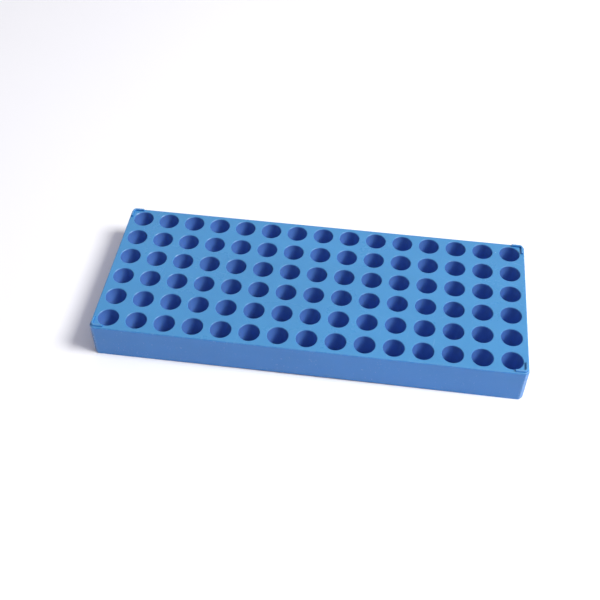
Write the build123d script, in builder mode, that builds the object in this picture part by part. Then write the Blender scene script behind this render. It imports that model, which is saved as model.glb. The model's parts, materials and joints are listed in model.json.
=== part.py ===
"""Low test tube rack: fifteen by six wells in one moulded shell, closed by a screwed base plate.

Millimetres. +Z is up and +X runs along the rack. The origin is the centre of the footprint on the
bench that the rack stands on.
"""

import os
from math import atan, degrees, sqrt

from build123d import *

# Well grid
columns = 15
rows = 6
well_pitch = 17.2
well_diameter = 12.7
well_lead_in = 0.35
sleeve_wall = 1.1

# Outside of the shell: the walls flare outward from the deck to the rim
deck_length = 260.2
deck_width = 104.0
deck_height = 24.6
wall_flare = 0.5
rim_corner_chamfer = 2.3
outer_edge_radius = 0.9

# Inside of the shell
deck_thickness = 2.0
side_wall = 2.0
end_wall = 2.5
cavity_corner_radius = 1.0
rim_lip = 1.05
rim_rebate_height = 1.8

# Shallow relief under each long wall, so that the rack stands on its corners
relief_span = 216.0
relief_rise = 0.9

# L-shaped stacking ribs at the corners of the deck
rib_inset = 1.0
rib_thickness = 1.2
rib_height = 1.4
rib_root = 1.0
rib_leg = 7.2
rib_corner_radius = 2.4
rib_top_radius = 0.3

# Base plate
plate_thickness = 2.0
plate_underside = 2.2
plate_gap = 0.25
plate_edge_chamfer = 0.4
vent_diameter = 3.0
vent_column_step = 9
vent_row_step = 2

# Screw bosses and screws, in the gaps between four wells
boss_diameter = 7.0
screw_columns = (-6.5, -2.5, 2.5, 6.5)
screw_rows = (-2, 2)
screw_major_diameter = 2.9
screw_core_diameter = 2.1
screw_thread_pitch = 1.1
screw_thread_turns = 7
thread_root_start = 0.3  # the thread's form, as fractions of its pitch
thread_root_end = 0.5
thread_crest = 0.9
screw_tip_length = 1.6
screw_head_diameter = 5.5
screw_clearance_diameter = 3.2
screw_fit_gap = 0.04
pilot_depth = 11.0
cross_slot_width = 0.8
cross_slot_span = 3.0
cross_slot_depth = 0.9

# Derived
draft_angle = degrees(atan(wall_flare / deck_height))
rim_length = deck_length + 2 * wall_flare
rim_width = deck_width + 2 * wall_flare
rebate_chamfer = rim_corner_chamfer - rim_lip * (2 - sqrt(2))  # keeps the lip even round the corners
cavity_length = deck_length - 2 * end_wall
cavity_width = deck_width - 2 * side_wall
plate_top = plate_underside + plate_thickness
cavity_roof = deck_height - deck_thickness
well_radius = well_diameter / 2
screw_positions = [(column * well_pitch, row * well_pitch) for row in screw_rows for column in screw_columns]
well_grid = GridLocations(well_pitch, well_pitch, columns, rows)
past = 1.0  # how far a cutting solid runs past the face that it cuts


def circle_edges_at(part, radius, height):
    """Full circles of one radius lying at one height."""
    circles = part.edges().filter_by(GeomType.CIRCLE)
    return circles.filter_by(
        lambda edge: abs(edge.radius - radius) < 0.01 and abs(edge.center().Z - height) < 0.01
    )


with BuildPart() as shell:
    # Drafted block with cut corners; one radius runs round the deck and down the corners
    with BuildSketch(Plane.XY) as outline:
        Rectangle(rim_length, rim_width)
        chamfer(outline.vertices(), length=rim_corner_chamfer)
    extrude(amount=deck_height, taper=draft_angle)
    deck_face = shell.faces().sort_by(Axis.Z)[-1]
    corner_edges = shell.edges().filter_by(lambda edge: edge.bounding_box().size.Z > deck_height / 2)
    fillet(deck_face.edges() + corner_edges, radius=outer_edge_radius)
    # Cavity, and the rebate that leaves a thin lip to drop over the ribs of the rack below
    with BuildSketch(Plane.XY):
        RectangleRounded(cavity_length, cavity_width, cavity_corner_radius)
    extrude(amount=cavity_roof, mode=Mode.SUBTRACT)
    with BuildSketch(Plane.XY) as rebate:
        Rectangle(rim_length - 2 * rim_lip, rim_width - 2 * rim_lip)
        chamfer(rebate.vertices(), length=rebate_chamfer)
    extrude(amount=rim_rebate_height, mode=Mode.SUBTRACT)
    # Sleeves and bosses, from the base plate up to the deck
    with BuildSketch(Plane.XY.offset(plate_top)):
        with well_grid:
            Circle(well_radius + sleeve_wall)
        with Locations(*screw_positions):
            Circle(boss_diameter / 2)
    extrude(amount=cavity_roof - plate_top)
    # Wells, with a small lead-in at the mouth
    with BuildSketch(Plane.XY):
        with well_grid:
            Circle(well_radius)
    extrude(amount=deck_height + past, mode=Mode.SUBTRACT)
    chamfer(circle_edges_at(shell, well_radius, deck_height), length=well_lead_in)
    # Screw holes in the bosses
    with BuildSketch(Plane.XY.offset(plate_top)):
        with Locations(*screw_positions):
            Circle(screw_major_diameter / 2 + screw_fit_gap)
    extrude(amount=pilot_depth, mode=Mode.SUBTRACT)
    # Relief under the long walls
    with BuildSketch(Plane.XZ):
        with BuildLine():
            ThreePointArc((-relief_span / 2, 0), (0, relief_rise), (relief_span / 2, 0))
            Line((relief_span / 2, 0), (-relief_span / 2, 0))
        make_face()
    extrude(amount=rim_width, both=True, mode=Mode.SUBTRACT)
    # Stacking ribs, rooted inside the deck
    with BuildSketch(Plane.XY.offset(deck_height - rib_root)):
        rib_length = deck_length - 2 * rib_inset
        rib_width = deck_width - 2 * rib_inset
        RectangleRounded(rib_length, rib_width, rib_corner_radius)
        inside_length, inside_width = rib_length - 2 * rib_thickness, rib_width - 2 * rib_thickness
        RectangleRounded(inside_length, inside_width, rib_corner_radius - rib_thickness, mode=Mode.SUBTRACT)
        Rectangle(rib_length - 2 * rib_leg, rib_width, mode=Mode.SUBTRACT)
        Rectangle(rib_length, rib_width - 2 * rib_leg, mode=Mode.SUBTRACT)
    extrude(amount=rib_root + rib_height)
    rib_tops = shell.faces().filter_by(Axis.Z).group_by(Axis.Z)[-1]
    fillet(rib_tops.edges(), radius=rib_top_radius)
shell.part.label = "shell"

with BuildPart() as base_plate:
    with BuildSketch(Plane.XY.offset(plate_underside)):
        RectangleRounded(cavity_length - 2 * plate_gap, cavity_width - 2 * plate_gap, cavity_corner_radius)
    extrude(amount=plate_thickness)
    chamfer(base_plate.faces().sort_by(Axis.Z)[0].edges(), length=plate_edge_chamfer)
    # Countersunk screw holes, flush with the underside
    with BuildSketch(Plane.XY.offset(plate_underside)):
        with Locations(*screw_positions):
            Circle(screw_clearance_diameter / 2)
    extrude(amount=plate_thickness, mode=Mode.SUBTRACT)
    sink_edges = circle_edges_at(base_plate, screw_clearance_diameter / 2, plate_underside)
    chamfer(sink_edges, length=(screw_head_diameter - screw_clearance_diameter) / 2 + screw_fit_gap)
    # Vents, so that steam can leave the space between the sleeves
    with BuildSketch(Plane.XY.offset(plate_underside)):
        with GridLocations(vent_column_step * well_pitch, vent_row_step * well_pitch, 2, 2):
            Circle(vent_diameter / 2)
    extrude(amount=plate_thickness, mode=Mode.SUBTRACT)
base_plate.part.label = "base_plate"


def screw(x, y):
    """Countersunk self-tapping screw with a cross recess, its head flush with the underside of the plate."""
    head_radius = screw_head_diameter / 2
    core_radius = screw_core_diameter / 2
    crest_radius = screw_major_diameter / 2
    neck_height = head_radius - crest_radius
    thread_start = plate_thickness
    thread_end = thread_start + screw_thread_turns * screw_thread_pitch
    profile = [(0, 0), (head_radius, 0), (crest_radius, neck_height), (crest_radius, thread_start)]
    for turn in range(screw_thread_turns):
        profile += [
            (core_radius, thread_start + (turn + thread_root_start) * screw_thread_pitch),
            (core_radius, thread_start + (turn + thread_root_end) * screw_thread_pitch),
            (crest_radius, thread_start + (turn + thread_crest) * screw_thread_pitch),
        ]
    profile += [(core_radius, thread_end), (0, thread_end + screw_tip_length)]
    with BuildPart() as body:
        with BuildSketch(Plane.XZ):
            with BuildLine():
                Polyline(*profile, close=True)
            make_face()
        revolve(axis=Axis.Z)
        with BuildSketch(Plane.XY):
            Rectangle(cross_slot_span, cross_slot_width)
            Rectangle(cross_slot_width, cross_slot_span)
        extrude(amount=cross_slot_depth, mode=Mode.SUBTRACT)
    return body.part.moved(Location((x, y, plate_underside)))


parts = {"shell": shell.part, "base_plate": base_plate.part}
for number, (x, y) in enumerate(screw_positions, start=1):
    name = f"base_screw_{number}"
    parts[name] = screw(x, y)
    parts[name].label = name

os.makedirs("parts", exist_ok=True)
for name, solid in parts.items():
    export_step(solid, f"parts/{name}.step")
    size = solid.bounding_box().size
    print(f"{name}: {size.X:.2f} x {size.Y:.2f} x {size.Z:.2f} mm, {solid.volume / 1000:.2f} cm3")
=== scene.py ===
"""The look of the low test tube rack: materials on the CAD nodes, a pale floor and soft light."""

import json
import math

import bpy
from mathutils import Matrix, Vector


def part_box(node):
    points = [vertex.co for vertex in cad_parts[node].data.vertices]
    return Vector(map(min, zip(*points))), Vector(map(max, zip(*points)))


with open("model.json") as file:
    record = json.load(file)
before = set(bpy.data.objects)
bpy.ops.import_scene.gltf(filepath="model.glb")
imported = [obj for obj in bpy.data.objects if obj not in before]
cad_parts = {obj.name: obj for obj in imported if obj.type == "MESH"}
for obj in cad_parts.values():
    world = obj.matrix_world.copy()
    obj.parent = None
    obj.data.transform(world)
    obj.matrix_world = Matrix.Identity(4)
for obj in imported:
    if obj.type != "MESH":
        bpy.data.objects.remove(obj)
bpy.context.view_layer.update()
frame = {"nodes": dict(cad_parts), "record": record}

# The materials work in millimetres, in the shared frame. These sizes aren't in the record.
MM = 1000.0
WELL_LEAD_IN = 0.35
WALL_FLARE = 0.5
CORNER_CUT = 2.0  # x plus y that each cut corner takes off the deck's outline
PLATE_UNDERSIDE = 2.2

# Places on the rack, from the record's mounts and the shell's CAD box
mounts = {mount["name"]: mount for mount in frame["record"]["mounts"]}
first_well, next_well = mounts["well_a1"], mounts["well_a2"]
well_pitch = (next_well["pos_m"][0] - first_well["pos_m"][0]) * MM
well_radius = first_well["dims"]["r_mm"]
deck_top = first_well["pos_m"][2] * MM + first_well["dims"]["length_mm"] / 2 + WELL_LEAD_IN
shell_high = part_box("shell")[1]
rim_half_length, rim_half_width, rib_top = (value * MM for value in shell_high)
deck_half_length = rim_half_length - WALL_FLARE
deck_half_width = rim_half_width - WALL_FLARE

# Camera: a medium telephoto looks down onto the deck, from a little to the right of the middle
CAMERA_AT = Vector((0.03810, -0.35984, 0.42964))
CAMERA_RIGHT = Vector((0.99104, 0.13355, 0.00203))
CAMERA_UP = Vector((-0.10249, 0.75060, 0.65276))
CAMERA_BACKWARD = Vector((0.08566, -0.64712, 0.75756))
SENSOR_WIDTH_MM = 36.0
LENS_MM = 52.31
NEAREST_VIEW = 0.01
camera_data = bpy.data.cameras.new("camera")
camera_data.sensor_width = SENSOR_WIDTH_MM
camera_data.lens = LENS_MM
camera_data.clip_start = NEAREST_VIEW
camera = bpy.data.objects.new("camera", camera_data)
turn = Matrix((CAMERA_RIGHT, CAMERA_UP, CAMERA_BACKWARD)).transposed()
camera.matrix_world = Matrix.Translation(CAMERA_AT) @ turn.to_4x4()
bpy.context.scene.collection.objects.link(camera)
bpy.context.scene.camera = camera


# ---------------------------------------------------------------- material building blocks


class Material:
    """A node material under construction. Inputs are numbers, colours, or other nodes' outputs."""

    def __init__(self, name):
        self.material = bpy.data.materials.new(name)
        self.material.use_nodes = True
        self.tree = self.material.node_tree
        self.tree.nodes.clear()
        output = self.tree.nodes.new("ShaderNodeOutputMaterial")
        self.shader = self.tree.nodes.new("ShaderNodeBsdfPrincipled")
        self.tree.links.new(self.shader.outputs["BSDF"], output.inputs["Surface"])
        coordinates = self.node("ShaderNodeTexCoord").outputs
        metres = {0: coordinates["Object"], "Scale": MM}
        self.place = self.node("ShaderNodeVectorMath", metres, operation="SCALE").outputs[0]
        self.x, self.y, self.z = self.node("ShaderNodeSeparateXYZ", {0: self.place}).outputs
        self.facing_up = self.node("ShaderNodeSeparateXYZ", {0: coordinates["Normal"]}).outputs[2]

    def node(self, kind, inputs=None, **settings):
        made = self.tree.nodes.new(kind)
        for name, value in settings.items():
            setattr(made, name, value)
        for name, value in (inputs or {}).items():
            if isinstance(value, bpy.types.NodeSocket):
                self.tree.links.new(value, made.inputs[name])
            else:
                made.inputs[name].default_value = value
        return made

    def math(self, operation, *values):
        return self.node("ShaderNodeMath", dict(enumerate(values)), operation=operation).outputs[0]

    def add(self, *values):
        total = values[0]
        for value in values[1:]:
            total = self.math("ADD", total, value)
        return total

    def times(self, *values):
        product = values[0]
        for value in values[1:]:
            product = self.math("MULTIPLY", product, value)
        return product

    def most(self, *values):
        largest = values[0]
        for value in values[1:]:
            largest = self.math("MAXIMUM", largest, value)
        return largest

    def swing(self, pattern, amount):
        """A pattern's departure from its mean of a half, as a signed amount."""
        return self.times(self.math("SUBTRACT", pattern, 0.5), amount)

    def length(self, vector):
        return self.node("ShaderNodeVectorMath", {0: vector}, operation="LENGTH").outputs["Value"]

    def fade(self, value, at_zero, at_one):
        """0 where the value is at_zero, 1 where it is at_one, smooth between."""
        inputs = {"Value": value, "From Min": at_zero, "From Max": at_one}
        return self.node("ShaderNodeMapRange", inputs, interpolation_type="SMOOTHSTEP").outputs[0]

    def near(self, value, edge, fade_in):
        """1 near an edge, 0 further back. fade_in is how far short of it the fade starts and ends."""
        start, full = fade_in
        return self.fade(value, edge - start, edge - full)

    def mix(self, factor, first, second):
        inputs = {0: factor, 6: first, 7: second}
        return self.node("ShaderNodeMix", inputs, data_type="RGBA").outputs[2]

    def stretch(self, scales=(1.0, 1.0, 1.0), angle=0.0, shift=(0.0, 0.0, 0.0)):
        """The place, turned about the vertical and scaled along each axis."""
        inputs = {0: self.place, "Location": shift, "Rotation": (0.0, 0.0, angle)}
        turned = self.node("ShaderNodeMapping", inputs).outputs[0]
        inputs = {0: turned, 1: scales}
        return self.node("ShaderNodeVectorMath", inputs, operation="MULTIPLY").outputs[0]

    def noise(self, scale, detail=2.0, rough=0.5, vector=None):
        """Cloudy noise between 0 and 1. The scale is how many features fit in a millimetre."""
        inputs = {"Vector": vector or self.place, "Scale": scale}
        inputs.update({"Detail": detail, "Roughness": rough})
        return self.node("ShaderNodeTexNoise", inputs).outputs[0]

    def specks(self, spacing, radius, shift):
        """Round dots of one radius, scattered with one to each cell of the spacing."""
        inputs = {"Vector": self.stretch(shift=shift), "Scale": 1.0 / spacing}
        from_dot = self.node("ShaderNodeTexVoronoi", inputs).outputs["Distance"]
        return self.fade(from_dot, radius / spacing, 0.5 * radius / spacing)

    def hairlines(self, angle, shift, rarity):
        """Short fine scratches that run roughly one way, in patches. A higher rarity leaves fewer."""
        drawn_out = self.stretch(HAIRLINE_SHAPE, angle, shift)
        lines = self.noise(1.0, detail=1.0, vector=drawn_out)
        turned = self.stretch(angle=angle, shift=shift)
        patches = self.noise(HAIRLINE_PATCHES, detail=1.0, vector=turned)
        scratched = self.fade(lines, rarity, rarity + HAIRLINE_SOFTNESS)
        return self.times(scratched, self.fade(patches, *HAIRLINE_PATCH_FADE))

    def bumps(self, *layers):
        """Stacked bump: each layer is a height pattern and its depth in millimetres."""
        normal = None
        for height, depth in layers:
            inputs = {"Height": height, "Distance": depth / MM, "Strength": 1.0}
            if normal is not None:
                inputs["Normal"] = normal
            normal = self.node("ShaderNodeBump", inputs).outputs[0]
        self.tree.links.new(normal, self.shader.inputs["Normal"])

    def finish(self, colour, roughness):
        self.tree.links.new(colour, self.shader.inputs["Base Color"])
        self.tree.links.new(roughness, self.shader.inputs["Roughness"])
        return self.material


def rgb(red, green, blue):
    """A linear colour with full alpha."""
    return (red, green, blue, 1.0)


# ---------------------------------------------------------------- materials

# Polypropylene, one blue all through in the real rack. The shell's blues stand in for light: the deck
# blue, more cyan on upward faces, is a painted sheen, and the bore blue, more violet, is a painted shade
# tint inside the wells.
WALL_BLUE = rgb(0.030, 0.214, 0.600)
DECK_BLUE_PAINTED_SHEEN = rgb(0.057, 0.246, 0.492)
BORE_BLUE_PAINTED_SHADE_TINT = rgb(0.100, 0.232, 0.600)
PLATE_BLUE = rgb(0.060, 0.200, 0.520)
WORN_BLUE = rgb(0.20, 0.42, 0.68)
# Paler blue for the four cut corners: a painted highlight where the rounded corner catches the key light
CORNER_PAINTED_HIGHLIGHT_BLUE = rgb(0.24, 0.42, 0.60)
SCRATCH_BLUE = rgb(0.30, 0.50, 0.74)
LIGHT_SPECK = rgb(0.55, 0.66, 0.78)
DARK_SPECK = rgb(0.02, 0.07, 0.19)
PLASTIC_ROUGHNESS = 0.22
PLASTIC_IOR = 1.49
SUBSURFACE_WEIGHT = 0.10
SUBSURFACE_RADIUS = (0.4, 0.8, 1.5)  # how far red, green and blue travel, in millimetres

# Scratches: long along their own x and fine across it
HAIRLINE_SHAPE = (0.05, 2.2, 0.6)
HAIRLINE_SOFTNESS = 0.05
HAIRLINE_PATCHES = 0.045  # to a millimetre
HAIRLINE_PATCH_FADE = (0.46, 0.60)

# Where each zone of the plastic starts and is full, in millimetres from the edge that it follows
BORE_ZONE = (0.25, 0.05)
MOUTH_ZONE = (0.75, 0.35)
DECK_ZONE = (0.9, 0.1)
DECK_FACING = (0.05, 0.98)  # the upward part of the surface's normal
OUTLINE_ZONE = (1.3, 0.4)
OUTLINE_DEPTH = (1.6, 0.5)
CORNER_ZONE = (0.9, 0.2)
RIB_CREST_ZONE = (0.5, 0.1)
FOOT_ZONE = (1.2, 0.2)
PLATE_EDGE_ZONE = 0.3

# How much of the full wear the milder edges get, and how strongly the cut corners take the painted
# highlight
DECK_EDGE_WEAR = 0.45
CORNER_WEAR = 0.4
MOUTH_WEAR = 0.4
CORNER_HIGHLIGHT_PAINT = 0.08

# Steel
CLEAN_STEEL = rgb(0.62, 0.62, 0.63)
STAINED_STEEL = rgb(0.47, 0.46, 0.45)
STEEL_ROUGHNESS = 0.24


def shell_zones(m):
    """Masks that follow the shell: its bores, deck, well mouths, cut corners and worn edges."""
    # Distance from the axis of the nearest well; the rows lie half a pitch off the middle
    half_pitch = well_pitch / 2
    across = m.math("WRAP", m.x, half_pitch, -half_pitch)
    along = m.math("WRAP", m.math("SUBTRACT", m.y, half_pitch), half_pitch, -half_pitch)
    from_axis = m.length(m.node("ShaderNodeCombineXYZ", {0: across, 1: along}).outputs[0])
    bore = m.fade(from_axis, *(well_radius + outside for outside in BORE_ZONE))
    deck = m.times(m.near(m.z, deck_top, DECK_ZONE), m.fade(m.facing_up, *DECK_FACING))
    mouth = m.times(m.fade(from_axis, *(well_radius + outside for outside in MOUTH_ZONE)), deck)
    # The outline of the deck, and the four cut corners from top to bottom
    size_x, size_y = m.math("ABSOLUTE", m.x), m.math("ABSOLUTE", m.y)
    past_x = m.near(size_x, deck_half_length, OUTLINE_ZONE)
    past_y = m.near(size_y, deck_half_width, OUTLINE_ZONE)
    deck_edge = m.times(m.most(past_x, past_y), m.near(m.z, deck_top, OUTLINE_DEPTH))
    facet = deck_half_length + deck_half_width - CORNER_CUT
    corner = m.near(m.add(size_x, size_y), facet, CORNER_ZONE)
    # Where the shell rubs on hands, benches and other racks
    edges = m.most(
        m.times(deck_edge, DECK_EDGE_WEAR),
        m.times(corner, CORNER_WEAR),
        m.times(mouth, MOUTH_WEAR),
        m.near(m.z, rib_top, RIB_CREST_ZONE),
        m.fade(m.z, *FOOT_ZONE),
    )
    return bore, deck, mouth, corner, edges


def moulded_plastic(name, is_shell):
    """Satin polypropylene with cloudy colour, specks, scratches, handling marks and worn edges."""
    m = Material(name)
    if is_shell:
        bore, deck, mouth, corner, edges = shell_zones(m)
        # Painted light: upward deck faces take a painted cyan sheen and the bores a painted violet shade
        # tint over the wall blue
        colour = m.mix(deck, m.mix(bore, WALL_BLUE, BORE_BLUE_PAINTED_SHADE_TINT), DECK_BLUE_PAINTED_SHEEN)
        # A painted highlight on the cut corners: pale blue mixed in over the corner zone
        colour = m.mix(m.times(corner, CORNER_HIGHLIGHT_PAINT), colour, CORNER_PAINTED_HIGHLIGHT_BLUE)
        outside = m.math("SUBTRACT", 1.0, bore)
    else:
        bore, mouth, outside = 0.0, 0.0, 1.0
        colour = PLATE_BLUE
        edges = m.fade(m.z, PLATE_UNDERSIDE + PLATE_EDGE_ZONE, PLATE_UNDERSIDE)

    # Uneven pigment: broad clouds, streaks where the plastic flowed along the mould, and fine grain
    clouds = m.noise(0.022, detail=3.0, rough=0.55)
    flow = m.noise(0.05, vector=m.stretch(scales=(0.25, 1.0, 1.0)))
    pigment = m.noise(1.6, detail=3.0, rough=0.6)
    tone = m.add(m.swing(clouds, 0.16), m.swing(flow, 0.10), m.swing(pigment, 0.07), 1.0)
    colour = m.node("ShaderNodeHueSaturation", {"Value": tone, "Color": colour}).outputs[0]

    # Signs of use. The bores are out of reach of scratches and specks.
    break_up = m.noise(0.45, detail=4.0, rough=0.65)
    wear = m.times(edges, m.fade(break_up, 0.38, 0.66))
    scratches = m.times(
        m.most(
            m.hairlines(angle=0.35, shift=(3.0, 11.0, 0.0), rarity=0.70),
            m.hairlines(angle=1.75, shift=(47.0, 5.0, 0.0), rarity=0.71),
            m.hairlines(angle=-0.6, shift=(19.0, 71.0, 0.0), rarity=0.72),
        ),
        outside,
    )
    light_specks = m.times(m.specks(spacing=34.0, radius=0.34, shift=(5.0, 9.0, 2.0)), outside)
    dark_specks = m.times(m.specks(spacing=41.0, radius=0.26, shift=(17.0, 3.0, 8.0)), outside)
    handled = m.fade(m.noise(0.03, vector=m.stretch(shift=(90.0, 40.0, 0.0))), 0.52, 0.66)
    for mask, strength, tint in (
        (wear, 0.30, WORN_BLUE),
        (scratches, 0.16, SCRATCH_BLUE),
        (light_specks, 0.55, LIGHT_SPECK),
        (dark_specks, 0.45, DARK_SPECK),
    ):
        colour = m.mix(m.times(mask, strength), colour, tint)

    # Upward faces are a little more matt, and hands have polished some patches
    roughness = m.add(
        PLASTIC_ROUGHNESS,
        m.times(m.fade(m.facing_up, 0.25, 0.85), 0.10),
        m.swing(break_up, 0.12),
        m.times(handled, -0.07),
        m.times(wear, 0.10),
        m.times(scratches, 0.12),
        m.times(bore, -0.04),
        m.times(mouth, 0.16),
    )

    # Sink and waviness, drag lines down the bores, mould grain and scratches, in millimetres
    waves = m.noise(0.11)
    drag_pattern = m.noise(1.0, detail=3.0, rough=0.6, vector=m.stretch(scales=(1.4, 1.4, 0.03)))
    drag_lines = m.times(drag_pattern, bore)
    grain = m.noise(2.6, detail=3.0, rough=0.6)
    m.bumps((waves, 0.030), (drag_lines, 0.016), (grain, 0.008), (scratches, -0.006))
    m.shader.inputs["IOR"].default_value = PLASTIC_IOR
    m.shader.inputs["Subsurface Weight"].default_value = SUBSURFACE_WEIGHT
    m.shader.inputs["Subsurface Radius"].default_value = SUBSURFACE_RADIUS
    m.shader.inputs["Subsurface Scale"].default_value = 1.0 / MM
    return m.finish(colour, roughness)


def machined_steel(name):
    """Turned steel with fine tool marks and light staining."""
    m = Material(name)
    tool_marks = m.noise(1.0, detail=3.0, rough=0.6, vector=m.stretch(scales=(0.9, 0.9, 6.0)))
    stain = m.noise(0.5, detail=3.0, rough=0.6)
    grain = m.noise(9.0)
    colour = m.mix(m.fade(stain, 0.35, 0.75), CLEAN_STEEL, STAINED_STEEL)
    dulled = m.times(m.fade(stain, 0.5, 0.8), 0.12)
    roughness = m.add(STEEL_ROUGHNESS, m.times(tool_marks, 0.18), dulled)
    m.bumps((tool_marks, 0.010), (grain, 0.002))
    m.shader.inputs["Metallic"].default_value = 1.0
    return m.finish(colour, roughness)


finishes = {
    "shell": moulded_plastic("shell_plastic", is_shell=True),
    "base_plate": moulded_plastic("base_plastic", is_shell=False),
}
screw_steel = machined_steel("screw_steel")
for name, piece in frame["nodes"].items():
    for slot in piece.material_slots:
        slot.material = finishes.get(name, screw_steel)

# ---------------------------------------------------------------- floor

FLOOR_HALF_SIDE = 6.0
PALE_PAPER = rgb(0.91, 0.91, 0.91)
SHADED_PAPER = rgb(0.89, 0.89, 0.895)
PAPER_ROUGHNESS = 0.72
GLOW_START = 450.0  # millimetres from the middle of the rack
GLOW_FULL = 1700.0
SURROUNDINGS_BRIGHTNESS = 0.9

corners = [
    (-FLOOR_HALF_SIDE, -FLOOR_HALF_SIDE, 0.0),
    (FLOOR_HALF_SIDE, -FLOOR_HALF_SIDE, 0.0),
    (FLOOR_HALF_SIDE, FLOOR_HALF_SIDE, 0.0),
    (-FLOOR_HALF_SIDE, FLOOR_HALF_SIDE, 0.0),
]
floor_mesh = bpy.data.meshes.new("floor")
floor_mesh.from_pydata(corners, [], [(0, 1, 2, 3)])
floor = bpy.data.objects.new("floor", floor_mesh)
bpy.context.scene.collection.objects.link(floor)
paper = Material("floor_paper")
paper_tone = paper.mix(paper.noise(0.004), SHADED_PAPER, PALE_PAPER)
paper_roughness = paper.add(PAPER_ROUGHNESS, paper.times(paper.noise(0.02), 0.1))
# Beyond the lights' reach the paper glows, so that no dark band shows at the horizon
beyond = paper.fade(paper.length(paper.place), GLOW_START, GLOW_FULL)
glow = paper.times(beyond, SURROUNDINGS_BRIGHTNESS)
paper.tree.links.new(glow, paper.shader.inputs["Emission Strength"])
paper.shader.inputs["Emission Color"].default_value = rgb(1.0, 1.0, 1.0)
floor_mesh.materials.append(paper.finish(paper_tone, paper_roughness))

# ---------------------------------------------------------------- light


def area_light(name, distance, azimuth, elevation, size, watts, tint):
    """A soft rectangular light aimed at the rack, from an azimuth (0 is +X) and elevation in degrees."""
    data = bpy.data.lights.new(name, "AREA")
    data.shape = "RECTANGLE"
    data.size, data.size_y = size
    data.energy = watts
    data.color = tint
    light = bpy.data.objects.new(name, data)
    azimuth, elevation = math.radians(azimuth), math.radians(elevation)
    flat, height = distance * math.cos(elevation), distance * math.sin(elevation)
    light.location = (flat * math.cos(azimuth), flat * math.sin(azimuth), height)
    light.rotation_euler = (-light.location).to_track_quat("-Z", "Y").to_euler()
    bpy.context.scene.collection.objects.link(light)


WHITE = (1.0, 1.0, 1.0)
COOL = (1.0, 0.97, 1.12)
KEY_DISTANCE = 2.0
FILL_DISTANCE = 1.6
area_light("key", KEY_DISTANCE, -7.0, 51.0, size=(0.66, 0.66), watts=45.0, tint=WHITE)
area_light("overhead", FILL_DISTANCE, 90.0, 80.0, size=(1.6, 1.0), watts=4.4, tint=COOL)
area_light("front", FILL_DISTANCE, -62.0, 60.0, size=(1.8, 0.6), watts=4.8, tint=COOL)
area_light("back", FILL_DISTANCE, 90.0, 42.0, size=(1.8, 0.8), watts=3.3, tint=COOL)
area_light("left", FILL_DISTANCE, 180.0, 35.0, size=(1.4, 0.8), watts=1.3, tint=COOL)

# The room gives little light of its own, but looks as pale as the floor behind the rack
ROOM_LIGHT = 0.06
world = bpy.data.worlds.new("studio")
bpy.context.scene.world = world
world.use_nodes = True
surroundings = world.node_tree.nodes["Background"]
surroundings.inputs["Color"].default_value = rgb(1.0, 1.0, 1.0)
rays = world.node_tree.nodes.new("ShaderNodeLightPath")
strength = world.node_tree.nodes.new("ShaderNodeMapRange")
strength.inputs["To Min"].default_value = ROOM_LIGHT
strength.inputs["To Max"].default_value = SURROUNDINGS_BRIGHTNESS
world.node_tree.links.new(rays.outputs["Is Camera Ray"], strength.inputs["Value"])
world.node_tree.links.new(strength.outputs[0], surroundings.inputs["Strength"])

bpy.context.scene.view_settings.view_transform = "Standard"
